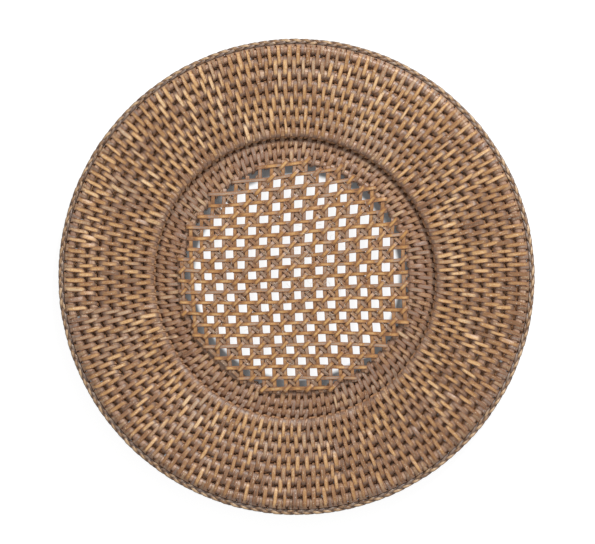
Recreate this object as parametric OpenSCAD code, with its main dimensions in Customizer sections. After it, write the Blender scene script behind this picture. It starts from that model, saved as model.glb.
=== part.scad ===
/* [Coils] */
// Radius of the open middle inside the innermost coil
middle_r = 77.5; // [74:0.5:80]
// Mean width that one coil of the flat well takes
well_coil_w = 6.53; // [6.2:0.01:7.5]
// Mean width that one coil of the rim takes
rim_coil_w = 7.93; // [7.2:0.01:9]
// Open slot between the canes of neighbouring coils
coil_gap = 1.6; // [1.5:0.05:2]
// How far the first rim coil stands above the last well coil
rim_step = 4.5; // [2:0.1:6]
// How much each further rim coil climbs
rim_climb = 1.1; // [0:0.1:2]

/* [Lashing] */
// Width of one lashing strip
strip_w = 2; // [1.4:0.1:2]
// Thickness of one lashing strip
strip_t = 0.5; // [0.3:0.05:0.5]
// Gap between a strip and the cane that it is wound round
strip_fit = 0.15; // [0.1:0.05:0.15]
// Radius of the bow in which a stitch bridges two canes
bow_r = 14; // [12:0.5:30]
// Stitches in each turn of the well
well_stitches = 95; // [60:1:95]
// Stitches in each turn of the rim
rim_stitches = 122; // [80:1:122]
// Stitches in each turn of the outermost rows
outer_stitches = 142; // [100:1:142]

/* [Edge] */
// Thickness of one course of the edge plait
plait_d = 2.15; // [1.6:0.05:2.6]
// Gap between the plait and what it lies against
plait_fit = 0.2; // [0.1:0.05:0.3]

/* [Mesh] */
// Distance between neighbouring strands of the mesh
mesh_pitch = 7.75; // [7:0.05:10]
// Width of one mesh strand
mesh_strand_w = 2.4; // [1.5:0.1:2.5]
// Thickness of one mesh strand
mesh_strand_t = 0.55; // [0.3:0.05:0.8]
// Gap between strands that cross
mesh_fit = 0.1; // [0.05:0.05:0.2]
// How much of the innermost coil, at its far side, the lap of the mesh leaves free
mesh_lap = 0.73; // [0.3:0.01:3]
// How far the middle opening lies to the right of the centre
mesh_shift_x = 1.1; // [-4:0.1:4]
// How far the middle opening lies behind the centre
mesh_shift_y = 3.1; // [-4:0.1:4]
// Turn of the mesh in the plate, in degrees
mesh_turn = 2; // [-10:0.5:10]

/* [Hidden] */
$fn = 48;

// widths of the coils from the inside out, as shares of the mean width
well_width_shares = [1, 1.04, 0.96];
rim_width_shares = [1.1, 1.03, 0.9, 1.03, 1.05, 1.01, 0.98, 0.9];
well_coils = len(well_width_shares);
coils = well_coils + len(rim_width_shares);
// what one turn of strip adds round a cane
wrap = strip_fit + strip_t;
// how far a stitch runs on past the crown of a cane, as a share of the cane's radius
reach_share = 0.85;
// how much a band on the underside ends short of a cane's lowest line, as a share of its radius
band_end_share = 0.16;
// where an edge stitch lies between two stitches of the row inside it, as a share of a step
edge_phase_share = 0.38;
// angles on the outermost cane at which an edge stitch starts and ends
edge_low = -25;
edge_high = 100;

function coil_w(k) = k < well_coils
    ? well_coil_w * well_width_shares[k]
    : rim_coil_w * rim_width_shares[k - well_coils];
function coil_start(k) = k == 0 ? middle_r : coil_start(k - 1) + coil_w(k - 1);
function cane_r(k) = (coil_w(k) - coil_gap) / 2;
function coil_z(k) = k < well_coils
    ? cane_r(k) + wrap
    : coil_z(well_coils - 1) + rim_step + (k - well_coils) * rim_climb;
// centre of a coil's cane: distance from the axis, and height
function coil_at(k) = [coil_start(k) + coil_w(k) / 2, coil_z(k)];

// Row k of the lashing ties coil k to coil k + 1. Neighbouring rows stand half a step apart.
function count_of(k) = k < well_coils ? well_stitches : k < coils - 3 ? rim_stitches : outer_stitches;
function step_of(k) = 360 / count_of(k);
function phase_of(k) = (k % 2) / 2;
function even_angle(k, i) = (i + phase_of(k)) * step_of(k);
// Two rows with unlike counts share a coil. Where their stitches would meet, both move aside.
room = strip_w + strip_fit;
function from_nearest(k, a) =
    let (steps = a / step_of(k) - phase_of(k))
    (steps - round(steps)) * step_of(k);
function aside(k, other, i) =
    let (r = coil_at(max(k, other))[0],
        gap = from_nearest(other, even_angle(k, i)) * PI / 180 * r,
        way = gap == 0 ? sign(k - other) : sign(gap))
    abs(gap) < room ? way * (room - abs(gap)) / 2 / r * 180 / PI : 0;
function is_row(k) = k >= 0 && k < coils - 1;
function unlike(k, other) = is_row(k) && is_row(other) && count_of(k) != count_of(other);
function moves(k) = unlike(k, k + 1) || unlike(k, k - 1);
function moved_angle(k, i) = even_angle(k, i)
    + (unlike(k, k + 1) ? aside(k, k + 1, i) : 0)
    + (unlike(k, k - 1) ? aside(k, k - 1, i) : 0);
// A row beside a moved one keeps to the middle between that row's stitches.
function mid_angle(k, other, i) =
    let (first = k % 2 == 0 ? i - 1 : i)
    (moved_angle(other, first) + moved_angle(other, first + 1)) / 2;
function stitch_angle(k, i) =
    moves(k) ? moved_angle(k, i)
    : moves(k + 1) && is_row(k + 1) ? mid_angle(k, k + 1, i)
    : moves(k - 1) && is_row(k - 1) ? mid_angle(k, k - 1, i)
    : even_angle(k, i);

// centre of a bowed strip that lies on two canes from above
function bow_at(k) =
    let (a = coil_at(k), d = coil_at(k + 1) - a, l = norm(d),
        ra = bow_r - cane_r(k) - strip_fit, rb = bow_r - cane_r(k + 1) - strip_fit,
        x = (l * l + ra * ra - rb * rb) / 2 / l, h = sqrt(ra * ra - x * x))
    a + (x * d + h * [d[1], -d[0]]) / l;
function heading(from, to) = atan2(to[1] - from[1], to[0] - from[0]);

// ends of the straight run that touches two circles from below
function low_run(a, ra, b, rb) =
    let (d = b - a, l = norm(d), s = (ra - rb) / l, c = sqrt(1 - s * s),
        n = [s * d[0] + c * d[1], s * d[1] - c * d[0]] / l)
    [a + ra * n, b + rb * n];

module cane(k) {
    color(k < well_coils ? "#a87b46" : "#9b6f3e")
        rotate_extrude()
            translate(coil_at(k))
                circle(r = cane_r(k));
}

// a strip of the lashing's width, bent round a centre in the plate's upright section
module bent_strip(centre, r, low, high) {
    translate([centre[0], 0, centre[1]])
        rotate([90, 0, 0])
            rotate(low)
                rotate_extrude(angle = high - low)
                    translate([r, -strip_w / 2])
                        square([strip_t, strip_w]);
}

// what shows from above of the strip that is wound round canes k and k + 1
module lashing(k) {
    centre = bow_at(k);
    past = reach_share / bow_r * 180 / PI;
    color(k % 2 == 0 ? "#c9995a" : "#bd8c50")
        for (i = [0:count_of(k) - 1])
            rotate(stitch_angle(k, i))
                bent_strip(centre, bow_r, heading(centre, coil_at(k + 1)) - past * cane_r(k + 1),
                    heading(centre, coil_at(k)) + past * cane_r(k));
}

// the close-lying runs of one row on the underside, as a band
module underside(k) {
    a = coil_at(k);
    b = coil_at(k + 1);
    inner = low_run(a, cane_r(k) + strip_fit, b, cane_r(k + 1) + strip_fit);
    outer = low_run(a, cane_r(k) + wrap, b, cane_r(k + 1) + wrap);
    way = (inner[1] - inner[0]) / norm(inner[1] - inner[0]);
    from = way * cane_r(k) * band_end_share;
    to = way * cane_r(k + 1) * band_end_share;
    rotate_extrude()
        polygon([inner[0] + from, outer[0] + from, outer[1] - to, inner[1] - to]);
}

module well_underside() {
    color("#b58549")
        for (k = [0:well_coils - 2])
            underside(k);
}

module rim_underside() {
    color("#ad7d43")
        for (k = [well_coils - 1:coils - 2])
            underside(k);
}

module edge_stitches() {
    last = coils - 1;
    color("#d4a868")
        for (i = [0:outer_stitches - 1])
            rotate(stitch_angle(last - 1, i) + edge_phase_share * step_of(last - 1))
                bent_strip(coil_at(last), cane_r(last) + strip_fit, edge_low, edge_high);
}

// the courses lie side by side round the outermost coil
function course_r(n) = coil_at(coils - 1)[0] + cane_r(coils - 1) + wrap + plait_fit
    + (n + 1 / 2) * plait_d + n * plait_fit / 2;
module edge_plait(n) {
    color(n == 0 ? "#8a6238" : "#a87b46")
        rotate_extrude()
            translate([course_r(n), coil_z(coils - 1)])
                circle(d = plait_d);
}

// The mesh lies on the stitches of the innermost row. Upright strands lie over the falling ones,
// level strands over the upright ones, and rising strands over all. In the closed cells, between
// those crossings, the falling strands come up and pass over the rising ones.
mesh_r = coil_at(0)[0] + cane_r(0) - mesh_lap;
mesh_z = bow_at(0)[1] + bow_r + strip_t + mesh_fit;
mesh_layer = mesh_strand_t + mesh_fit;
diagonal_pitch = mesh_pitch * sqrt(2);
// half the length that a slanting strand runs level over a crossing, and over a closed cell
crossing_run = mesh_strand_w / sqrt(2) + mesh_strand_w / 2 + mesh_fit;
cell_run = diagonal_pitch / 2 - mesh_strand_w / 2 - mesh_fit;
function turned(p, a) = [p[0] * cos(a) - p[1] * sin(a), p[0] * sin(a) + p[1] * cos(a)];
function wave(s) =
    let (q = abs(s - diagonal_pitch * round(s / diagonal_pitch)))
    min(1, max(0, (q - crossing_run) / (cell_run - crossing_run)));
// places along a slanting strand where it bends
function bends(from, to) = concat([from],
    [for (m = [floor(from / diagonal_pitch):ceil(to / diagonal_pitch)])
        for (q = [-cell_run, -crossing_run, crossing_run, cell_run])
            let (s = m * diagonal_pitch + q)
            if (s > from + mesh_fit && s < to - mesh_fit) s],
    [to]);

module strand(from, to, low, high) {
    places = low == high ? [from, to] : bends(from, to);
    line = [for (s = places) [s, low + (high - low) * wave(s)]];
    back = [for (i = [len(line) - 1:-1:0]) line[i] + [0, mesh_strand_t]];
    rotate([90, 0, 0])
        translate([0, 0, -mesh_strand_w / 2])
            linear_extrude(height = mesh_strand_w)
                polygon(concat(line, back));
}

// all the strands that run one way, each cut to the round of the mesh
module strands(way, pitch, low, high) {
    centre = turned([-mesh_shift_x, -mesh_shift_y], -way - mesh_turn);
    count = ceil(mesh_r / pitch) + 1;
    translate([mesh_shift_x, mesh_shift_y, mesh_z])
        rotate(way + mesh_turn)
            for (j = [-count:count]) {
                side = (j + 1 / 2) * pitch;
                off = abs(side - centre[1]);
                if (off < mesh_r - mesh_strand_w) {
                    half = sqrt(mesh_r * mesh_r - off * off);
                    translate([0, side, 0])
                        strand(centre[0] - half, centre[0] + half, low, high);
                }
            }
}

module mesh_falling() {
    color("#c08f52")
        strands(-45, diagonal_pitch, 0, 2 * mesh_layer);
}

module mesh_upright() {
    color("#cf9f60")
        strands(90, mesh_pitch, mesh_layer, mesh_layer);
}

module mesh_level() {
    color("#d6a869")
        strands(0, mesh_pitch, 2 * mesh_layer, 2 * mesh_layer);
}

module mesh_rising() {
    color("#ddb274")
        strands(45, diagonal_pitch, 3 * mesh_layer, mesh_layer);
}

cane(0);  // well_coil_1
cane(1);  // well_coil_2
cane(2);  // well_coil_3
cane(3);  // rim_coil_1
cane(4);  // rim_coil_2
cane(5);  // rim_coil_3
cane(6);  // rim_coil_4
cane(7);  // rim_coil_5
cane(8);  // rim_coil_6
cane(9);  // rim_coil_7
cane(10);  // rim_coil_8
lashing(0);  // well_lashing_1
lashing(1);  // well_lashing_2
lashing(2);  // step_lashing
lashing(3);  // rim_lashing_1
lashing(4);  // rim_lashing_2
lashing(5);  // rim_lashing_3
lashing(6);  // rim_lashing_4
lashing(7);  // rim_lashing_5
lashing(8);  // outer_lashing_1
lashing(9);  // outer_lashing_2
well_underside();
rim_underside();
edge_stitches();
edge_plait(0);  // edge_plait_inner
edge_plait(1);  // edge_plait_outer
mesh_falling();
mesh_upright();
mesh_level();
mesh_rising();
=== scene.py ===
# Charger plate of coiled and lashed cane with a woven cane mesh in the middle.
# Metres throughout. The plate rests on z = 0 and its middle is on the z axis.
import math

import bmesh
import bpy
import numpy as np
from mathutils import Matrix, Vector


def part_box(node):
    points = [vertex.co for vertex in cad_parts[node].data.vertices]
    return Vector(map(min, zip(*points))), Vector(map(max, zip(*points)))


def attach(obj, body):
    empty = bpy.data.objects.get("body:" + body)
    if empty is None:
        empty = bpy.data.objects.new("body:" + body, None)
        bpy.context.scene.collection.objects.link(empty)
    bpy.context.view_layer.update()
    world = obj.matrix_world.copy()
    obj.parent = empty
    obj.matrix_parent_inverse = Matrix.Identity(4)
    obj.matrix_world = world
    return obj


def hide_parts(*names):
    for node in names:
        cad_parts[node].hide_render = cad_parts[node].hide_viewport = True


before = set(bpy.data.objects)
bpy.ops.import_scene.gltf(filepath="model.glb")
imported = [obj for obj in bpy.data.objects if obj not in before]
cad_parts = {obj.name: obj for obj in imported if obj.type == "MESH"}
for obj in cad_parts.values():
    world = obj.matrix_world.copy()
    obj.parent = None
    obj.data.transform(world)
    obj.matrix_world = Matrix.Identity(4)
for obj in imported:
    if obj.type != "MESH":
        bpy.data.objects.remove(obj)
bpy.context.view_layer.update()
mm = 0.001
fullTurn = 2 * math.pi


# small helpers
def startFresh():
    if bpy.context.object and bpy.context.object.mode != "OBJECT":
        bpy.ops.object.mode_set(mode="OBJECT")
    bpy.ops.object.select_all(action="DESELECT")


def selectEdges(piece, wanted):
    bpy.ops.mesh.select_mode(type="EDGE")
    bpy.ops.mesh.select_all(action="DESELECT")
    shape = bmesh.from_edit_mesh(piece.data)
    for edge in shape.edges:
        a, b = edge.verts
        if wanted(a.co, b.co):
            edge.select_set(True)
    bmesh.update_edit_mesh(piece.data)


def spots(piece):
    found = np.empty(len(piece.data.vertices) * 3)
    piece.data.vertices.foreach_get("co", found)
    return found.reshape(-1, 3)


def moveSpots(piece, places):
    piece.data.vertices.foreach_set("co", np.ascontiguousarray(places).ravel())
    piece.data.update()


def unit(rows):
    return rows / np.maximum(np.linalg.norm(rows, axis=1), 1e-9)[:, None]


def upwards(count):
    return np.tile([0.0, 0.0, 1.0], (count, 1))


def addRing(reach, half, around, sides):
    startFresh()
    bpy.ops.mesh.primitive_torus_add(major_segments=around, minor_segments=sides,
                                     major_radius=reach, minor_radius=half, location=(0, 0, 0))
    return bpy.context.object


def prepareStrand(piece):
    # the strand materials read how far along and across a point is, and its tone
    corners = np.empty(len(piece.data.loops), int)
    piece.data.loops.foreach_get("vertex_index", corners)
    for layer in list(piece.data.uv_layers):
        piece.data.uv_layers.remove(layer)
    piece.data.uv_layers.new(name="strand")
    piece.data.attributes.new("tone", "FLOAT_COLOR", "POINT")
    return corners


def paintStrand(piece, corners, along, across, tones):
    pairs = np.stack([along, across], 1)[corners]
    piece.data.uv_layers["strand"].data.foreach_set("uv", pairs.ravel())
    rows = np.column_stack([tones, np.ones(len(along))])
    piece.data.attributes["tone"].data.foreach_set("color", rows.ravel())


def finish(piece, name, material, slot, *nodes):
    startFresh()
    piece.select_set(True)
    bpy.context.view_layer.objects.active = piece
    bpy.ops.object.shade_smooth_by_angle(angle=math.radians(40))
    piece.name = name
    piece.data.name = name
    piece.data.materials.clear()
    piece.data.materials.append(material)
    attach(piece, "root")
    if nodes:
        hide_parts(*nodes)
    print("made", name, len(piece.data.polygons), "faces")


# camera, straight above the plate as in the photograph
view = {"width": 595, "height": 544, "scale": 0.692 * mm, "middle": (296.5, 276.8),
        "lens": 200, "sensor": 36, "farthest": 20, "rimHeight": 16 * mm}
cameraData = bpy.data.cameras.new("camera")
cameraData.lens = view["lens"]
cameraData.sensor_width = view["sensor"]
cameraData.clip_end = view["farthest"]
camera = bpy.data.objects.new("camera", cameraData)
bpy.context.scene.collection.objects.link(camera)
camera.location = (
    (view["width"] / 2 - view["middle"][0]) * view["scale"],
    (view["middle"][1] - view["height"] / 2) * view["scale"],
    view["rimHeight"] + view["width"] * view["scale"] * view["lens"] / view["sensor"])
bpy.context.scene.camera = camera
bpy.context.scene.view_settings.view_transform = "Standard"
print("camera set")


# materials
def tint(code):
    parts = [int(code[i:i + 2], 16) / 255 for i in (1, 3, 5)]
    return [c / 12.92 if c <= 0.04045 else ((c + 0.055) / 1.055) ** 2.4 for c in parts] + [1]


class Nodes:
    def __init__(self, owner, shader="Principled BSDF"):
        self.owner = owner
        owner.use_nodes = True
        self.tree = owner.node_tree
        self.shader = self.tree.nodes[shader]

    def add(self, kind, **settings):
        made = self.tree.nodes.new(kind)
        for key, value in settings.items():
            setattr(made, key, value)
        return made

    def plug(self, value, socket):
        if isinstance(value, bpy.types.NodeSocket):
            self.tree.links.new(value, socket)
        else:
            socket.default_value = value

    def math(self, operation, a, b=0.0, c=0.0):
        made = self.add("ShaderNodeMath", operation=operation)
        for value, socket in zip((a, b, c), made.inputs):
            self.plug(value, socket)
        return made.outputs[0]

    def ramp(self, value, low, high, start=0.0, end=1.0):
        made = self.add("ShaderNodeMapRange", interpolation_type="SMOOTHSTEP")
        settings = {"Value": value, "From Min": low, "From Max": high, "To Min": start, "To Max": end}
        for name, setting in settings.items():
            self.plug(setting, made.inputs[name])
        return made.outputs["Result"]

    def blend(self, share, a, b):
        made = self.add("ShaderNodeMix", data_type="RGBA")
        self.plug(share, made.inputs["Factor"])
        self.plug(a, made.inputs[6])
        self.plug(b, made.inputs[7])
        return made.outputs[2]

    def colours(self, value, stops):
        made = self.add("ShaderNodeValToRGB")
        steps = made.color_ramp.elements
        while len(steps) < len(stops):
            steps.new(0.5)
        for step, (place, code) in zip(steps, stops):
            step.position = place
            step.color = tint(code)
        self.plug(value, made.inputs["Fac"])
        return made.outputs["Color"]

    def noise(self, vector, scale, detail=2.0, rough=0.5):
        made = self.add("ShaderNodeTexNoise")
        self.plug(vector, made.inputs["Vector"])
        made.inputs["Scale"].default_value = scale
        made.inputs["Detail"].default_value = detail
        made.inputs["Roughness"].default_value = rough
        return made.outputs["Fac"]

    def joined(self, x, y, z):
        made = self.add("ShaderNodeCombineXYZ")
        for value, socket in zip((x, y, z), made.inputs):
            self.plug(value, socket)
        return made.outputs[0]

    def place(self):
        return self.add("ShaderNodeTexCoord").outputs["Object"]

    def split(self, vector):
        made = self.add("ShaderNodeSeparateXYZ")
        self.plug(vector, made.inputs[0])
        return made.outputs

    def reach(self, parts):   # how far a point is from the plate's axis
        squares = [self.math("MULTIPLY", part, part) for part in (parts[0], parts[1])]
        return self.math("SQRT", self.math("ADD", *squares))

    def roughen(self, height, strength, depth):
        bump = self.add("ShaderNodeBump")
        bump.inputs["Strength"].default_value = strength
        bump.inputs["Distance"].default_value = depth
        self.plug(height, bump.inputs["Height"])
        self.plug(bump.outputs[0], self.shader.inputs["Normal"])

    def seen(self):   # 1 where the surface is seen by the camera, in a reflection or through glass
        path = self.add("ShaderNodeLightPath").outputs
        mirrored = self.math("MAXIMUM", path["Is Glossy Ray"], path["Is Transmission Ray"])
        return self.math("MAXIMUM", path["Is Camera Ray"], mirrored)


# the pattern that all strips share, in strip lengths and widths
grain = {"fibreAlong": 0.45, "fibreAcross": 9.0, "streakAlong": 0.12, "streakAcross": 3.2, "speckScale": 900.0,
         "shift": 97.0, "streakShift": 31.0, "depth": 0.12 * mm}


def strandMaterial(name, look):
    n = Nodes(bpy.data.materials.new(name))
    run = n.split(n.add("ShaderNodeUVMap", uv_map="strand").outputs[0])
    tone = n.split(n.add("ShaderNodeAttribute", attribute_name="tone").outputs["Vector"])
    along, across = run[0], run[1]
    place = n.place()

    def lengthwise(kind, shift, detail, rough):
        spot = n.joined(n.math("MULTIPLY", along, look["length"] * grain[kind + "Along"]),
                        n.math("MULTIPLY", across, grain[kind + "Across"]), shift)
        return n.noise(spot, 1.0, detail, rough)

    def coat(under, amount, share, code):
        if not look[share]:
            return under
        return n.blend(n.math("MULTIPLY", amount, look[share]), under, tint(look[code]))

    shift = n.math("MULTIPLY", tone[2], grain["shift"])   # no two strips have the same grain
    fibre = lengthwise("fibre", shift, 3.0, 0.65)
    streak = lengthwise("streak", n.math("ADD", shift, grain["streakShift"]), 2.0, 0.5)
    patch = n.noise(place, look["patchScale"], 3.0, 0.55)
    speck = n.noise(place, grain["speckScale"], 2.0, 0.6)
    lightness = n.math("MULTIPLY", tone[0], look["toneShare"])
    lightness = n.math("ADD", lightness, n.math("MULTIPLY", streak, look["streakShare"]))
    uneven = n.math("MULTIPLY", n.math("SUBTRACT", patch, 0.5), look["patchShare"])
    colour = n.colours(n.math("ADD", lightness, uneven), look["colours"])
    colour = coat(colour, n.ramp(fibre, 0.48, 0.30), "fibreShare", "fibre")
    # painted glints: pale flecks along the grain stand in for small highlights
    colour = coat(colour, n.ramp(fibre, 0.58, 0.72), "glintShare", "glint")
    dusty = n.math("ADD", patch, n.math("MULTIPLY", n.math("SUBTRACT", tone[1], 0.5), look["greyTone"]))
    colour = coat(colour, n.ramp(dusty, 0.52, 0.66), "greyShare", "grey")
    colour = coat(colour, n.ramp(speck, 0.56, 0.68), "speckShare", "speck")
    # painted glints among the specks as well
    colour = coat(colour, n.ramp(speck, 0.40, 0.30), "speckShare", "glint")
    # painted shade: each strip's sides are darker, standing in for the shade on its rounded top, and the ends that dive
    # between the coils are darker, partly painted shade and partly patina in the crevices
    side = n.math("ABSOLUTE", n.math("SUBTRACT", across, 0.5))
    colour = coat(colour, n.ramp(side, look["sideFrom"], look["sideTo"]), "sideShadeShare", "side")
    far = n.math("ABSOLUTE", n.math("SUBTRACT", n.math("MULTIPLY", along, 2.0), 1.0))
    colour = coat(colour, n.ramp(far, look["endFrom"], look["endTo"]), "endShare", "end")
    # warm light between neighbouring strips
    colour = coat(colour, n.ramp(far, 0.5, 0.66), "deepShare", "deep")
    # painted shade: a strip's middle is darkened, used where the step's strips cross the drop from rim to well
    colour = coat(colour, n.ramp(far, 0.36, 0.08), "midShadeShare", "midShade")
    colour = coat(colour, n.ramp(side, look["lineFrom"], 0.49), "lineShare", "line")
    if look["lowShare"]:   # dust and shade lie where a strand dips under others
        depth = n.ramp(n.split(place)[2], look["lowTo"], look["lowFrom"], look["lowShare"], 0.0)
        colour = n.blend(depth, colour, tint(look["low"]))
    n.plug(colour, n.shader.inputs["Base Color"])
    n.plug(n.math("ADD", n.math("MULTIPLY", fibre, 0.25), look["rough"]), n.shader.inputs["Roughness"])
    n.shader.inputs["Specular IOR Level"].default_value = look["gloss"]
    n.roughen(n.math("ADD", fibre, n.math("MULTIPLY", speck, 0.4)), look["bump"], grain["depth"])
    return n.owner


lashingLook = {
    "length": 24, "patchScale": 34.0, "toneShare": 0.62, "streakShare": 0.42, "patchShare": 0.8,
    "colours": [(0.10, "#62452f"), (0.30, "#8e6640"), (0.50, "#b38652"), (0.70, "#d8ac74"), (0.92, "#ecca9c")],
    "fibre": "#8a5a2e", "fibreShare": 0.6, "glint": "#f6e0c8", "glintShare": 0.75,
    "speck": "#7a4a28", "speckShare": 0.55, "grey": "#867064", "greyShare": 0.6, "greyTone": 0.2,
    # side colours each strip's sides as painted shade; end darkens its ends, partly painted shade and partly patina
    "side": "#8c5c3a", "sideFrom": 0.2, "sideTo": 0.42, "sideShadeShare": 0.85,
    "line": "#744626", "lineFrom": 0.42, "lineShare": 0.6,
    "end": "#775a48", "endFrom": 0.15, "endTo": 0.40, "endShare": 0.95,
    # deep is painted warm light between the strips; mid is painted shade on a strip's middle
    "deep": "#bd8e66", "deepShare": 0.85, "midShade": "#7d6350", "midShadeShare": 0.0, "lowShare": 0.0,
    "rough": 0.28, "gloss": 0.55, "bump": 0.5}
edgeLook = dict(lashingLook, deepShare=0.0, end="#94725c", endShare=0.85, endFrom=0.3, endTo=0.62)
wellLook = dict(
    lashingLook, speckShare=0.4, greyShare=0.7, greyTone=0.35, rough=0.36, end="#94715c",
    colours=[(0.10, "#6a4c36"), (0.35, "#8c6646"), (0.60, "#a47c56"), (0.92, "#ccae88")])
# the step's strips get painted shade on their middles, where they cross the drop from rim to well
stepLook = dict(wellLook, midShadeShare=0.9, endFrom=0.55, endTo=0.9, deepShare=0.0)
# painted light: the underside strips are given lighter, warmer colours than the top strips, standing in for the light
# that reaches into the gaps between the coils
undersideLook = dict(
    lashingLook, endShare=0.0, deepShare=0.0, greyShare=0.2, sideShadeShare=0.2, lineShare=0.3,
    colours=[(0.10, "#98683f"), (0.35, "#b98353"), (0.60, "#d2a06c"), (0.92, "#e8c498")])
stubLook = dict(
    lashingLook, length=10, glintShare=0.4, endFrom=0.5, endTo=0.85, deepShare=0.0, greyShare=0.9, greyTone=0.5,
    colours=[(0.15, "#6a5442"), (0.4, "#8a6d52"), (0.7, "#a68564"), (0.95, "#c8a984")])
meshLook = dict(   # what the strands of the mesh have in common
    lashingLook, length=165, patchScale=110.0, toneShare=0.75, streakShare=0.7, patchShare=0.9,
    endShare=0.0, deepShare=0.0, speckShare=0.4, glintShare=0.5,
    side="#9a6840", sideFrom=0.14, sideTo=0.36, low="#8a6044", lowShare=0.5, lowFrom=8.9 * mm, lowTo=7.5 * mm)
straightLook = dict(
    meshLook, grey="#a08a7a", greyShare=0.85, greyTone=0.45, glint="#f0cf9c",
    colours=[(0.15, "#644228"), (0.35, "#82562e"), (0.55, "#a0703a"), (0.75, "#ba884c"), (0.95, "#d0a469")])
risingLook = dict(
    meshLook, glint="#f2d29c", low="#7c5a48", lowShare=0.6, lowFrom=9.25 * mm, lowTo=8.3 * mm,
    colours=[(0.15, "#62422c"), (0.35, "#80542c"), (0.55, "#a0703a"), (0.75, "#ba8848"), (0.95, "#d0a466")])
# painted shade: the falling strands have darker colours than the other strands, standing in for the shade they lie in
# below the rising ones
fallingLook = dict(
    meshLook, grey="#846e5e", greyShare=0.7, greyTone=0.3, lowShare=0.1, lowFrom=8.0 * mm, lowTo=7.3 * mm,
    side="#7a5a42", sideFrom=0.26, sideTo=0.42, sideShadeShare=0.8, lineShare=0.0,
    colours=[(0.15, "#61402a"), (0.35, "#784e34"), (0.55, "#8f6444"), (0.75, "#a47c56"), (0.95, "#bc9a76")])
# painted shade: the backing strands, the lowest layer, are darker still
backingLook = dict(
    fallingLook, lowShare=0.0, glintShare=0.25, sideFrom=0.1, sideTo=0.3,
    colours=[(0.15, "#573a28"), (0.35, "#6c4830"), (0.55, "#825c40"), (0.75, "#967250"), (0.95, "#ac8c6a")])
fibreLook = dict(
    meshLook, lowShare=0.0, grey="#c9bdb2", greyShare=0.9, sideShadeShare=0.2, lineShare=0.0,
    colours=[(0.15, "#9c8269"), (0.5, "#d8c4ab"), (0.95, "#f3e8da")])
plaitLook = dict(
    lashingLook, length=3000, patchScale=70.0, toneShare=0.8, streakShare=0.4, endShare=0.0, deepShare=0.0,
    grey="#6c5e58", greyShare=0.8, greyTone=0.5, glintShare=0.2, speckShare=0.3, rough=0.26,
    side="#5e4028", sideFrom=0.24, sideTo=0.42, line="#452a14", lineFrom=0.38, lineShare=0.95,
    colours=[(0.15, "#38261a"), (0.35, "#543c2a"), (0.55, "#72543c"), (0.75, "#947250"), (0.95, "#c4a47e")])


def caneMaterial(name, stops, gloss):
    n = Nodes(bpy.data.materials.new(name))
    place = n.place()
    parts = n.split(place)
    turn = n.math("ARCTAN2", parts[1], parts[0])
    lines = n.joined(n.math("MULTIPLY", turn, 14.0), n.math("MULTIPLY", n.reach(parts), 2600.0),
                     n.math("MULTIPLY", parts[2], 2600.0))
    lines = n.noise(lines, 1.0, 3.0, 0.6)
    patch = n.noise(place, 60.0, 3.0)
    colour = n.colours(n.math("ADD", n.math("MULTIPLY", lines, 0.6), n.math("MULTIPLY", patch, 0.5)), stops)
    n.plug(colour, n.shader.inputs["Base Color"])
    n.shader.inputs["Roughness"].default_value = 0.38
    n.shader.inputs["Specular IOR Level"].default_value = gloss
    n.roughen(lines, 0.5, 0.15 * mm)
    return n.owner


coilColours = [(0.3, "#705242"), (0.45, "#9a7660"), (0.58, "#b28e74"), (0.74, "#d8bca0")]
# painted shade: the filler cane is coloured much darker than the coils, standing in for the shade in the joint beside
# the plait
fillerShadeColours = [(0.3, "#3c2a1e"), (0.45, "#5a412f"), (0.58, "#6e523c"), (0.74, "#8c6c50")]
caneFinish = caneMaterial("coilCane", coilColours, 0.5)
fillerFinish = caneMaterial("fillerCane", fillerShadeColours, 0.1)
lashingFinish = strandMaterial("lashingStrip", lashingLook)
edgeFinish = strandMaterial("outerStrip", edgeLook)
wellFinish = strandMaterial("wellStrip", wellLook)
stepFinish = strandMaterial("stepStrip", stepLook)
undersideFinish = strandMaterial("undersideStrip", undersideLook)
stubFinish = strandMaterial("edgeStitchStrip", stubLook)
straightFinish = strandMaterial("meshStrand", straightLook)
risingFinish = strandMaterial("risingStrand", risingLook)
fallingFinish = strandMaterial("shadedFallingStrand", fallingLook)
backingFinish = strandMaterial("backingStrand", backingLook)
fibreFinish = strandMaterial("looseFibre", fibreLook)
plaitFinish = strandMaterial("plaitStrand", plaitLook)
print("materials made")

# the coils, read from the frame: distance from the axis, height and thickness
coilNodes = ["well_coil_%d" % i for i in (1, 2, 3)] + ["rim_coil_%d" % i for i in range(1, 9)]
coilNames = ["wellCane%d" % i for i in (1, 2, 3)] + ["rimCane%d" % i for i in range(1, 9)]
coils = []
for node in coilNodes:
    low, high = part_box(node)
    half = (high.z - low.z) / 2
    coils.append((high.x - half, low.z + half, half))

# the rings of the plate aren't quite round: how far they lie to the right and back, and how oval, in mm
wander = {
    "radius": [60, 78, 84, 97, 105, 121, 137, 153, 160],
    "right": [0, -0.4, -0.6, -1.0, -1.35, -1.25, -1.1, -0.5, 0],
    "back": [0, -0.3, -0.5, -0.8, -0.9, -0.65, -0.15, 0.4, 0],
    "oval": [0, 0.3, 0.35, 0.5, 0.5, 0.35, 0.4, 0.4, 0],
    "lobed": [0, 0.1, 0.15, 0.1, 0.25, 0.2, 0.25, 0.4, 0]}


def wandered(places):
    reach = np.hypot(places[:, 0], places[:, 1])
    turn = np.arctan2(places[:, 1], places[:, 0])
    share = {k: np.interp(reach / mm, wander["radius"], v) * mm for k, v in wander.items() if k != "radius"}
    push = (share["right"] * np.cos(turn) + share["back"] * np.sin(turn)
            - share["oval"] * np.sin(2 * turn) + share["lobed"] * np.cos(3 * turn))
    grown = places.copy()
    grown[:, :2] *= ((reach + push) / np.maximum(reach, mm))[:, None]
    return grown


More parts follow.
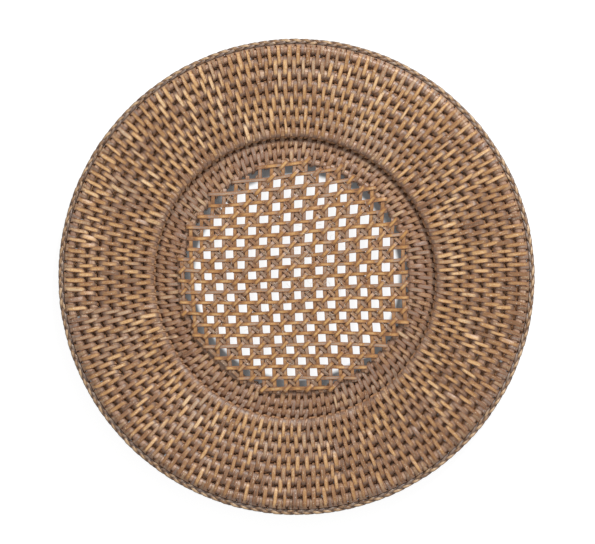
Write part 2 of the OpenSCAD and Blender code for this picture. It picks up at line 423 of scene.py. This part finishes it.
# canes of the coils
cane = {"around": 240, "sides": 10, "waver": 0.1 * mm, "waves": (5, 9, 14, 23), "rise": 0.5}
for index, (reach, height, half) in enumerate(coils):
    draw = np.random.default_rng(100 + index)
    piece = addRing(reach, half, cane["around"], cane["sides"])
    places = spots(piece)
    turn = np.arctan2(places[:, 1], places[:, 0])
    wave = sum(np.sin(turn * f + draw.uniform(0, 6.3)) for f in cane["waves"])
    wave = wave / len(cane["waves"]) * cane["waver"]
    places[:, :2] *= (1 + wave / reach)[:, None]
    places[:, 2] += height + wave * cane["rise"]
    moveSpots(piece, wandered(places))
    finish(piece, coilNames[index], caneFinish, "cane", coilNodes[index])


# one flat strip, modelled straight and then copied and laid along each path
def modelStrip(name, stations, width, thick, rounding):
    startFresh()
    bpy.ops.mesh.primitive_cube_add(size=1, location=(0, 0, 0))
    strip = bpy.context.object
    strip.name = name
    bpy.ops.object.mode_set(mode="EDIT")
    bpy.ops.mesh.select_all(action="SELECT")
    bpy.ops.transform.resize(value=(1, width, thick))
    selectEdges(strip, lambda a, b: abs(a.x - b.x) > 0.5)
    bpy.ops.mesh.subdivide(number_cuts=stations - 2)
    step = 0.5 / (stations - 1)
    selectEdges(strip, lambda a, b: a.z > 0 and b.z > 0 and abs(a.x - b.x) > step)
    bpy.ops.mesh.bevel(offset=rounding, segments=1, affect="EDGES")
    bpy.ops.object.mode_set(mode="OBJECT")
    places = spots(strip)
    return {"strip": strip, "station": np.rint((places[:, 0] + 0.5) * (stations - 1)).astype(int),
            "across": places[:, 1], "height": places[:, 2], "corners": prepareStrand(strip),
            "along": places[:, 0] + 0.5, "share": places[:, 1] / width + 0.5, "stations": stations}


def layStrip(base, path, ups, widths, tone, curl=0.0, marks=None):
    ahead = unit(np.gradient(path, axis=0))
    side = unit(np.cross(ups, ahead))
    up = np.cross(ahead, side)
    copy = base["strip"].copy()
    copy.data = base["strip"].data.copy()
    bpy.context.scene.collection.objects.link(copy)
    at = base["station"]
    places = path[at] + side[at] * (base["across"] * widths[at])[:, None] + up[at] * base["height"][:, None]
    places += up[at] * (curl * base["share"] - curl / 2)[:, None] * mm
    moveSpots(copy, places)
    along = base["along"] if marks is None else marks[at]
    tones = np.broadcast_to(np.asarray(tone, float), (base["stations"], 3))[at]
    paintStrand(copy, base["corners"], along, base["share"], tones)
    return copy


def joinCopies(copies):
    startFresh()
    for copy in copies:
        copy.select_set(True)
    bpy.context.view_layer.objects.active = copies[0]
    bpy.ops.object.join()
    return copies[0]


# the lashing: each row of stitches ties two neighbouring coils; angles are in degrees round a coil
lashing = {
    "width": 2.9 * mm, "endWidth": 0.86, "thick": 0.48 * mm, "rounding": 0.17 * mm, "fit": 0.1 * mm,
    "lowWidth": 1.6, "lowThick": 0.85, "lowFit": 0.02 * mm, "lowSpread": 0.15 * mm,
    "counts": [95] * 3 + [122] * 5 + [142] * 2, "staggers": [0.43] * 3 + [-0.42] * 5 + [-0.44] * 2,
    "uneven": 0.055, "outerDip": -28, "innerDip": 208, "dipSpread": 6, "leaveStep": 183, "landStep": 62,
    "stepAt": 3 * mm, "bow": 0.32 * mm, "bulge": 0.34 * mm, "innerBulge": 0.3 * mm, "lastBulge": 0.3,
    "hook": 1.3 * mm, "leans": [1.3, 1.3, 1.0, 0.2, 0.3, 0.6, 0.6, 0.6, 0.6, 0.6], "leanWave": 0.8,
    "leanSpread": 0.36, "curl": 0.16,
    # painted light and shade: the outer rows of the rim are lighter towards the side the light comes from and darker at
    # the front, more so the further out
    "paintedLightFall": [0, 0, 0, 0, 0.03, 0.08, 0.12, 0.14, 0.2, 0.24], "lightFrom": 1.85}   # the rim's front is duller
tuck = {"reach": 2.9 * mm, "drop": 1.35 * mm, "deeper": 0.55 * mm, "inset": 0.35 * mm, "from": 48,
        "shoulder": 0.95 * mm, "high": 1.15 * mm, "widths": [1.75, 1.75, 1.5]}


def arcSpots(coil, angles, lift):
    turned = np.radians(angles)
    ups = np.stack([np.cos(turned), np.sin(turned)], 1)
    return np.array([coil[0], coil[1]]) + ups * (coil[2] + lift), ups


def topLine(a, b, draw, dip):
    # from the outer side of the outer coil over both crowns to the inner side of the inner coil
    apart = np.array([b[0] - a[0], b[1] - a[1]])
    lift = lashing["fit"] + lashing["thick"] / 2
    crown = math.degrees(math.atan2(apart[1], apart[0]) + math.acos((a[2] - b[2]) / np.hypot(*apart)))
    atStep = apart[1] > lashing["stepAt"]
    leave, land = (lashing["leaveStep"], lashing["landStep"]) if atStep else (crown, crown)
    innerDip = lashing["innerDip"] + draw.uniform(-lashing["dipSpread"], lashing["dipSpread"])
    outer, outerUps = arcSpots(b, np.linspace(dip, leave, 5), lift)
    inner, innerUps = arcSpots(a, np.linspace(land, innerDip, 5), lift)
    between, betweenUps = (outer[-1] + inner[0]) / 2, outerUps[-1:]
    if atStep:
        betweenUps = [[-0.5, 0.87]]
    else:
        between = between + outerUps[-1] * lashing["bow"] * draw.uniform(0.4, 1.3)
    return np.vstack([outer, between, inner]), np.vstack([outerUps, betweenUps, innerUps])


def lowLine(a, b):
    apart = np.array([b[0] - a[0], b[1] - a[1]])
    lift = lashing["lowFit"] + lashing["thick"] / 2
    crown = math.degrees(math.atan2(apart[1], apart[0]) - math.acos((a[2] - b[2]) / np.hypot(*apart)))
    outer, outerUps = arcSpots(b, np.linspace(lashing["outerDip"] - 4, crown, 3), lift)
    inner, innerUps = arcSpots(a, np.linspace(crown, lashing["innerDip"] - 360 + 4, 3), lift)
    return np.vstack([outer, inner]), np.vstack([outerUps, innerUps])


def tuckUnder(line, ups, coil, deeper=0.0):
    # the outer end runs out flat to the plait, then dives and lies under it
    shoulder = coil[0] + coil[2] + tuck["shoulder"]
    lowest = coil[1] - tuck["drop"] - deeper
    under = [[shoulder + tuck["reach"], lowest], [shoulder + tuck["inset"], lowest],
             [shoulder, coil[1] + tuck["high"]]]
    return np.vstack([under, line]), np.vstack([[0.05, 1], [0.35, 1], [0.75, 0.65], ups])


def swing(line, ups, turn, slips):
    # a line in the upright section, carried round to its place in the ring
    out = np.array([math.cos(turn), math.sin(turn)])
    side = np.array([-math.sin(turn), math.cos(turn)])
    flat = line[:, :1] * out + slips[:, None] * side
    return np.column_stack([flat, line[:, 1]]), np.column_stack([ups[:, :1] * out, ups[:, 1]])


def makeWave(draw, waves):
    starts = draw.uniform(0, 6.3, len(waves))
    return lambda turn: sum(math.sin(turn * f + p) for f, p in zip(waves, starts)) / len(waves)


def slideApart(a, b, reach, limit):
    # the stitches of two rows that meet on a coil slide apart until they lie side by side
    start = np.concatenate([a, b]) % fullTurn
    order = np.argsort(start)
    now = start[order].copy()
    wanted = fullTurn / len(now) * 0.97
    for _ in range(80):
        push = np.clip(wanted - (np.roll(now, -1) - now) % fullTurn, 0, wanted) / 2
        now = now - push + np.roll(push, 1)
        now = start[order] + np.clip(now - start[order], -limit / reach, limit / reach)
    moved = np.empty(len(start))
    moved[order] = (now - start[order]) * reach
    return moved[:len(a)], moved[len(a):]


rows = len(lashing["counts"])
rowNodes = ["well_lashing_1", "well_lashing_2", "step_lashing"] + ["rim_lashing_%d" % i for i in range(1, 6)] \
    + ["outer_lashing_1", "outer_lashing_2"]
rowNames = ["wellLashing1", "wellLashing2", "stepLashing"] + ["rimLashing%d" % i for i in range(1, 6)] \
    + ["outerLashing1", "outerLashing2"]
rowFinishes = [wellFinish, wellFinish, stepFinish] + [lashingFinish] * 6 + [edgeFinish]
turns, phase = [], 0.0
for row, count in enumerate(lashing["counts"]):
    phase += lashing["staggers"][row]
    shaken = np.random.default_rng(900 + row).normal(0, lashing["uneven"], count)
    turns.append((np.arange(count) + phase + shaken) * fullTurn / count)
outerSlide, innerSlide = [np.zeros(len(t)) for t in turns], [np.zeros(len(t)) for t in turns]
for row in range(1, rows):
    limit = (1.7 if len(turns[row]) != len(turns[row - 1]) else 0.5) * mm
    outerSlide[row - 1], innerSlide[row] = slideApart(turns[row - 1], turns[row], coils[row][0], limit)

# how a stitch changes over its eleven stations, from its outer end to its inner one
stitchWidths = np.interp(np.linspace(-1, 1, 11), [-1, -0.5, -0.25, 0.25, 0.5, 1],
                         [lashing["endWidth"]] * 2 + [1, 1] + [lashing["endWidth"]] * 2)
outerShare = np.array([1, 1, 1, 0.8, 0.5, 0.2, 0, 0, 0, 0, 0])
hook = np.array([-1, -0.9, -0.6, -0.2, 0, 0, 0, 0.2, 0.6, 0.9, 1]) * lashing["hook"]
bulge = np.array([1, 1, 0.5, 0, 0, 0, 0, 0, 0.5, 1, 1]) * lashing["bulge"]
lowWidths = np.array([0.6, 0.7, 1, 1, 0.7, 0.6])
endMarks = np.concatenate([[0, 0.08, 0.18], np.linspace(0.32, 0.42, 5), np.linspace(0.5, 1, 6)])
endStitch = modelStrip("endStitch", 14, lashing["width"], lashing["thick"], lashing["rounding"])
stitch = modelStrip("stitch", 11, lashing["width"], lashing["thick"], lashing["rounding"])
lowStitch = modelStrip("lowStitch", 6, lashing["width"] * lashing["lowWidth"],
                       lashing["thick"] * lashing["lowThick"], lashing["rounding"])

lows = []
for row, count in enumerate(lashing["counts"]):
    draw = np.random.default_rng(200 + row)
    a, b = coils[row], coils[row + 1]
    last = row == rows - 1
    leanWave, toneWave = makeWave(draw, (2, 5, 11)), makeWave(draw, (3, 7, 17, 29))
    copies = []
    for i, turn in enumerate(turns[row]):
        spread = 0 if last else draw.uniform(-lashing["dipSpread"], lashing["dipSpread"])
        line, ups = topLine(a, b, draw, tuck["from"] if last else lashing["outerDip"] + spread)
        lean = lashing["leans"][row] + lashing["leanWave"] * leanWave(turn)
        lean = (lean + draw.normal(0, lashing["leanSpread"])) * mm
        slips = np.linspace(-lean / 2, lean / 2, len(line)) + draw.normal(0, 0.06, len(line)) * mm
        slips += np.maximum(hook, 0) if last else hook
        slips += outerSlide[row][i] * outerShare + innerSlide[row][i] * outerShare[::-1]
        line += ups * (bulge * draw.uniform(0.4, 1.4))[:, None] * (lashing["lastBulge"] if last else 1)
        if row == 0:
            line[6:] += ups[6:] * lashing["innerBulge"] * np.linspace(0, 1, 5)[:, None]
        width = np.clip(draw.normal(0.98, 0.1), 0.65, 1.15)
        widths = width * np.linspace(1, draw.normal(1, 0.05), len(line)) * stitchWidths
        if last:
            line, ups = tuckUnder(line, ups, b, tuck["deeper"])
            slips = np.concatenate([[slips[0]] * 3, slips])
            widths = np.concatenate([np.array(tuck["widths"]) * widths[0], widths])
        path, normals = swing(line, ups, turn, slips)
        light = draw.normal(0.5, 0.2) + 0.3 * toneWave(turn)
        # painted light and shade: lighter towards the light, darker at the rim's front
        light += lashing["paintedLightFall"][row] * math.cos(turn - lashing["lightFrom"])
        tone = (min(1, max(0, light)), draw.uniform(), draw.uniform())
        copies.append(layStrip(endStitch if last else stitch, wandered(path), normals, widths, tone,
                               draw.normal(0, lashing["curl"]), endMarks if last else None))
        # underneath, the strip goes on to its next stitch
        line, ups = lowLine(a, b)
        onward = np.linspace(1, 0, len(line)) * (fullTurn / count * line[:, 0] - 2 * lashing["hook"])
        slips = lashing["hook"] + onward + draw.normal(0, 1) * lashing["lowSpread"]
        path, normals = swing(line, ups, turn, slips)
        lows.append((row, layStrip(lowStitch, wandered(path), normals, lowWidths, tone)))
    finish(joinCopies(copies), rowNames[row], rowFinishes[row], "strip", rowNodes[row])
inWell = joinCopies([c for row, c in lows if row < 2])
finish(inWell, "wellUnderside", undersideFinish, "strip", "well_underside")
inRim = joinCopies([c for row, c in lows if row >= 2])
finish(inRim, "rimUnderside", undersideFinish, "strip", "rim_underside")

# short stitches that tie the plait to the outermost coil and run on underneath it
stub = {"count": 142, "stagger": -0.40, "high": 146, "width": 0.86, "slip": 0.3 * mm,
        "widths": np.array(tuck["widths"] + [1.2] + [1] * 6)}
draw = np.random.default_rng(300)
stubStrip = modelStrip("stub", 10, lashing["width"] * stub["width"], lashing["thick"], lashing["rounding"])
stubLift = lashing["fit"] + lashing["thick"] / 2
copies = []
for i in range(stub["count"]):
    turn = (i + phase + stub["stagger"] + draw.normal(0, 0.05)) * fullTurn / stub["count"]
    line, ups = arcSpots(coils[-1], np.linspace(tuck["from"], stub["high"], 7), stubLift)
    line, ups = tuckUnder(line, ups, coils[-1])
    slips = np.linspace(1, -1, 10) * stub["slip"] * draw.normal(0, 1)
    path, normals = swing(line, ups, turn, slips)
    tone = (min(1, max(0, draw.normal(0.5, 0.22))), draw.uniform(), draw.uniform())
    copies.append(layStrip(stubStrip, wandered(path), normals, draw.normal(1, 0.09) * stub["widths"], tone))
finish(joinCopies(copies), "edgeStitches", stubFinish, "strip", "edge_stitches")

# a thin filler cane closes the joint between the outermost coil and the plait
filler = {"half": 0.62 * mm, "apart": 0.62 * mm, "around": 252, "sides": 8, "waver": 0.08 * mm, "waves": 9}
fillerReach = coils[-1][0] + coils[-1][2] + filler["apart"]
piece = addRing(fillerReach, filler["half"], filler["around"], filler["sides"])
places = spots(piece)
turn = np.arctan2(places[:, 1], places[:, 0])
places[:, 2] += coils[-1][1] + filler["waver"] * np.sin(filler["waves"] * turn)
moveSpots(piece, places)
finish(piece, "edgeFiller", fillerFinish, "cane")

# the edge plait: one broad strand that goes round three times and crosses itself
plait = {"rounds": 3, "lobes": 142, "segments": 248, "cuts": 11, "sides": 6,
         "sway": 1.0 * mm, "rise": 0.66 * mm, "across": 1.1 * mm, "thick": 0.46 * mm,
         "widest": 0.94, "inset": 0.03 * mm}
low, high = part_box("edge_plait_outer")
plaitHeight = (low.z + high.z) / 2
plaitMiddle = high.x - plait["sway"] - plait["across"] * plait["widest"] - plait["inset"]


def plaitLine(t):
    swayTurn = fullTurn * plait["lobes"] * t
    reach = plaitMiddle + plait["sway"] * np.sin(swayTurn)
    height = plaitHeight + plait["rise"] * np.sin(2 * swayTurn)
    turn = fullTurn * plait["rounds"] * t
    return np.stack([reach * np.cos(turn), reach * np.sin(turn), height], -1)


piece = addRing(1, 0.1, plait["segments"], plait["sides"])
bpy.ops.object.mode_set(mode="EDIT")
selectEdges(piece, lambda a, b: (a.xy.normalized() - b.xy.normalized()).length > 0.01)
bpy.ops.mesh.subdivide(number_cuts=plait["cuts"])
bpy.ops.object.mode_set(mode="OBJECT")
places = spots(piece)
turn = np.arctan2(places[:, 1], places[:, 0]) % fullTurn
out = (np.hypot(places[:, 0], places[:, 1]) - 1) / 0.1
up = places[:, 2] / 0.1
t = turn / fullTurn
ahead = unit(plaitLine(t + 1e-5) - plaitLine(t - 1e-5))
side = unit(np.cross(ahead, np.array([0.0, 0.0, 1.0])))
lift = np.cross(side, ahead)
lobe = fullTurn * plait["lobes"] * t
size = 0.78 + 0.26 * np.abs(np.sin(2 * lobe)) + 0.07 * np.sin(turn * 61) + 0.05 * np.sin(turn * 173)
sideways, upward = (out * plait["across"] * size)[:, None], (up * plait["thick"])[:, None]
moveSpots(piece, plaitLine(t) + side * sideways + lift * upward)
# painted light and shade: the strand is lighter where it crosses on top and on its outer side, darker where it dips
# under, with slow changes of tone round the ring; the second tone makes it greyer on its inner side
shade = 0.46 + 0.36 * np.sin(2 * lobe - 0.4) + 0.1 * np.sin(lobe)
shade += 0.16 * np.sin(turn * 37) + 0.16 * np.sin(turn * 71)
tones = np.stack([np.clip(shade, 0, 1), 0.5 - 0.3 * np.sin(lobe), np.full(len(t), 0.3)], 1)
paintStrand(piece, prepareStrand(piece), t, out * 0.5 + 0.5, tones)
finish(piece, "edgePlait", plaitFinish, "plait", "edge_plait_inner", "edge_plait_outer")

# the mesh: a skewed and wavy lattice, in mm; open cells are those where right + back is even
lattice = {"x": (0.62, 77.24, -1.01, -1.83, 2.23, 4.31, 0.01, -0.72, 1.33, 0.21, 2.41, 0.15, 0.0, -1.24, -1.25),
           "y": (2.97, 5.17, 77.81, 0.46, 6.82, 1.4, -1.76, 3.42, 0.82, 0.68, 0.68, 0.19, -0.69, -1.81, 0.57)}
mesh = {"reach": 82.0, "over": 0.34, "overSlant": 0.3, "tuck": 2.2, "half": 5.48, "curl": 0.12, "ripple": 0.4,
        "width": 2.6 * mm, "slant": 2.45 * mm, "backing": 4.0 * mm, "thick": 0.46 * mm, "rounding": 0.14 * mm,
        "drop": 1.0 * mm, "lowest": 0.32 * mm, "layer": 0.62 * mm, "sway": {5.1: 0.16, 13: 0.22, 31: 0.2}}
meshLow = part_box("mesh_falling")[0].z + mesh["thick"] / 2
longStrip = modelStrip("meshStrip", 100, mesh["width"], mesh["thick"], mesh["rounding"])
slantStrip = modelStrip("slantStrip", 101, mesh["slant"], mesh["thick"], mesh["rounding"])
backingStrip = modelStrip("shadedBackingStrip", 101, mesh["backing"], mesh["thick"], mesh["rounding"])


def latticeSpot(u, w):
    u, w = u / 10, w / 10
    terms = np.stack([u ** i * w ** (k - i) for k in range(5) for i in range(k, -1, -1)])
    return np.array(lattice["x"]) @ terms, np.array(lattice["y"]) @ terms


def meshStrand(base, pointAt, heightAt, over, light, paintedHeightLight, draw):
    crossings = np.arange(-16, 16) + 0.5
    x, y = pointAt(crossings)
    inside = crossings[np.hypot(x + 0.5, y + 0.4) < mesh["reach"]]
    if len(inside) < 2:
        return None
    start, stop = inside[0] - over - draw.uniform(0, 0.08), inside[-1] + over + draw.uniform(0, 0.08)
    s = np.linspace(start, stop, base["stations"])
    x, y = pointAt(s)
    run = np.concatenate([[0], np.cumsum(np.hypot(np.diff(x), np.diff(y)))])
    across = unit(np.stack([-np.gradient(y), np.gradient(x)], 1))
    starts = draw.uniform(0, 6.3, 3)
    sway = sum(size * np.sin(run / length + p) for (length, size), p in zip(mesh["sway"].items(), starts))
    heights = heightAt(s)
    bend = np.clip(1 - np.minimum(run, run[-1] - run) / mesh["tuck"], 0, 1)
    z = np.maximum(meshLow + heights - mesh["drop"] * bend ** 2, meshLow - mesh["lowest"])
    path = np.stack([x * mm, y * mm, z], 1)
    path[:, :2] += across * sway[:, None] * mm
    widths = draw.normal(1, 0.05) * (1 + 0.05 * np.sin(run / 9 + starts[2]))
    # painted light and shade: the level and upright strands are lighter where they lie high and darker where they dip,
    # the slanting ones lighter at the crossings and darker between, and all a little greyer where they are darker
    if base is longStrip:
        high = (heights - heights.mean()) / max(heights.max() - heights.mean(), 0.01 * mm)
    else:   # the slanting strands are brightest at the crossings
        high = -np.cos(fullTurn * s)
    lights = np.clip(draw.normal(light, 0.1) + paintedHeightLight * np.clip(high, -1, 1), 0, 1)
    tone = np.stack([lights, draw.uniform() - 0.15 * high, np.full(len(s), draw.uniform())], 1)
    if base is backingStrip:   # the backing spreads in the closed cells and fills them
        widths = widths * (1.18 + 0.36 * np.cos(fullTurn * s))
    return layStrip(base, path, upwards(len(s)), widths, tone, draw.normal(0, mesh["curl"]))


def weave(s, atCorner, atCell, flatCorner, flatCell):
    # s is whole at a cell's middle and a half at a crossing; flat over both, with a slope between
    fromCorner = (0.5 - np.abs(s - np.round(s))) * 2 * mesh["half"]
    part = np.clip((fromCorner - flatCorner) / (flatCell - flatCorner), 0, 1)
    part = part * part * (3 - 2 * part)
    return (atCorner + (atCell - atCorner) * part) * mesh["layer"]


def dipped(s, base, odd, every):
    # the level strands stand higher at every second crossing, and the upright ones between the crossings
    part = np.cos(math.pi * (s - 0.5 - odd)) if every == 2 else -0.6 * np.cos(fullTurn * (s - 0.5))
    return (base + mesh["ripple"] * part) * mesh["layer"]


def fallingLine(c):
    return lambda s: latticeSpot(s, c - s)


def risingLine(c):
    return lambda s: latticeSpot(s, c + s)


def uprightLine(c):
    return lambda s: latticeSpot(c + 0.5 + 0 * s, s)


def levelLine(c):
    return lambda s: latticeSpot(s, c + 0.5 + 0 * s)


# node, strip, line, levels, how far the ends go on, light, painted light and shade by height, and finish
over, overSlant = mesh["over"], mesh["overSlant"]
ways = {
    "meshBacking": (None, backingStrip, fallingLine, (-0.45, -0.45, 1, 2), 0, 0.4, 0, backingFinish),
    "meshFalling": ("mesh_falling", slantStrip, fallingLine, (0, 1.75, 1.7, 3.4), overSlant, 0.52, 0.12, fallingFinish),
    "meshUpright": ("mesh_upright", longStrip, uprightLine, (1.15, 1), over, 0.26, 0.25, straightFinish),
    "meshLevel": ("mesh_level", longStrip, levelLine, (1.95, 2), over, 0.2, 0.5, straightFinish),
    "meshRising": ("mesh_rising", slantStrip, risingLine, (3, 0.85, 2.6, 4.2), overSlant, 0.4, 0.3, risingFinish)}
for number, (name, (node, base, lineFor, levels, past, light, paintedHeightLight, material)) in enumerate(ways.items()):
    draw = np.random.default_rng(500 + number)
    laid = []
    for c in range(-12, 12) if base is longStrip else range(-21, 12, 2):
        if base is longStrip:
            heightAt = lambda s: dipped(s, levels[0], c % 2, levels[1])
        else:
            heightAt = lambda s: weave(s, *levels)
        laid.append(meshStrand(base, lineFor(c), heightAt, past, light, paintedHeightLight, draw))
    finish(joinCopies([strand for strand in laid if strand]), name, material, "mesh", *([node] if node else []))

# fine fibres have come away from the strands, mostly in the closed cells; lengths in mm
fibre = {"count": 640, "long": 45, "width": 0.2 * mm, "thick": 0.1 * mm, "rounding": 0.03 * mm, "height": 8.7,
         "reach": 76, "stations": 7}
draw = np.random.default_rng(600)
fibreStrip = modelStrip("fibreStrip", fibre["stations"], fibre["width"], fibre["thick"], fibre["rounding"])
s = np.linspace(0, 1, fibre["stations"])
copies = []
for i in range(fibre["count"]):
    if i < fibre["long"]:   # long loose curls near the middle
        x, y = draw.normal(4, 18), draw.normal(2, 18)
        length, bend = draw.uniform(5, 11), draw.normal(0, 1.2)
    else:
        u, w = draw.integers(-10, 11), draw.integers(-10, 11)
        w += (u + w + 1) % 2
        x, y = latticeSpot(np.array(u + draw.normal(0, 0.22)), np.array(w + draw.normal(0, 0.22)))
        length, bend = draw.uniform(1.5, 4.5), draw.normal(0, 0.6)
    if math.hypot(x, y) > fibre["reach"]:
        continue
    turn = draw.uniform(0, 6.3) + bend * s
    step = length / fibre["stations"]
    path = np.stack([x + np.cumsum(np.cos(turn)) * step, y + np.cumsum(np.sin(turn)) * step,
                     fibre["height"] + draw.uniform(-0.3, 0.5) + 0.3 * np.sin(s * 3.1)], 1) * mm
    tone = (draw.uniform(), 0.1, draw.uniform())
    copies.append(layStrip(fibreStrip, path, upwards(len(s)), np.linspace(1, 0.5, len(s)), tone))
finish(joinCopies(copies), "looseFibres", fibreFinish, "mesh")

for base in (stitch, endStitch, lowStitch, stubStrip, longStrip, slantStrip, backingStrip, fibreStrip):
    bpy.data.objects.remove(base["strip"])

# floor, backdrop and light
stage = {"floor": 6.0, "below": 0.4 * mm, "glow": 0.9, "dim": 0.08, "albedo": 0.25, "world": 0.5,
         "shadeInner": (69.8 * mm, 73.2 * mm), "shadeOuter": (167 * mm, 150 * mm),
         "key": 21.8, "keySize": 0.6, "keyAt": (0.50, 1.05, 1.1)}
startFresh()
bpy.ops.mesh.primitive_plane_add(size=stage["floor"], location=(0, 0, -stage["below"]))
floor = bpy.context.object
floor.name = "floor"
n = Nodes(bpy.data.materials.new("paleFloor"))
n.shader.inputs["Base Color"].default_value = (stage["albedo"],) * 3 + (1,)
n.shader.inputs["Roughness"].default_value = 1
n.shader.inputs["Specular IOR Level"].default_value = 0
away = n.reach(n.split(n.place()))
shaded = n.math("MULTIPLY", n.ramp(away, *stage["shadeInner"]), n.ramp(away, *stage["shadeOuter"]))
# painted shade: the floor's glow is dimmed below the rim, standing in for the plate's shadow there
glow = n.math("MULTIPLY_ADD", shaded, stage["dim"] - stage["glow"], stage["glow"])
n.shader.inputs["Emission Color"].default_value = (1, 1, 1, 1)
n.plug(n.math("MULTIPLY", n.seen(), glow), n.shader.inputs["Emission Strength"])
floor.data.materials.append(n.owner)

world = bpy.data.worlds.new("studio")
bpy.context.scene.world = world
n = Nodes(world, "Background")
n.shader.inputs["Color"].default_value = (1, 1, 1, 1)
n.plug(n.math("MULTIPLY_ADD", n.seen(), 1 - stage["world"], stage["world"]), n.shader.inputs["Strength"])

lamp = bpy.data.lights.new("softKey", "AREA")
lamp.shape = "DISK"
lamp.size = stage["keySize"]
lamp.energy = stage["key"]
key = bpy.data.objects.new("softKey", lamp)
bpy.context.scene.collection.objects.link(key)
key.location = stage["keyAt"]
key.rotation_euler = (-key.location).to_track_quat("-Z", "Y").to_euler()
key.visible_camera = False
print("floor and light set")
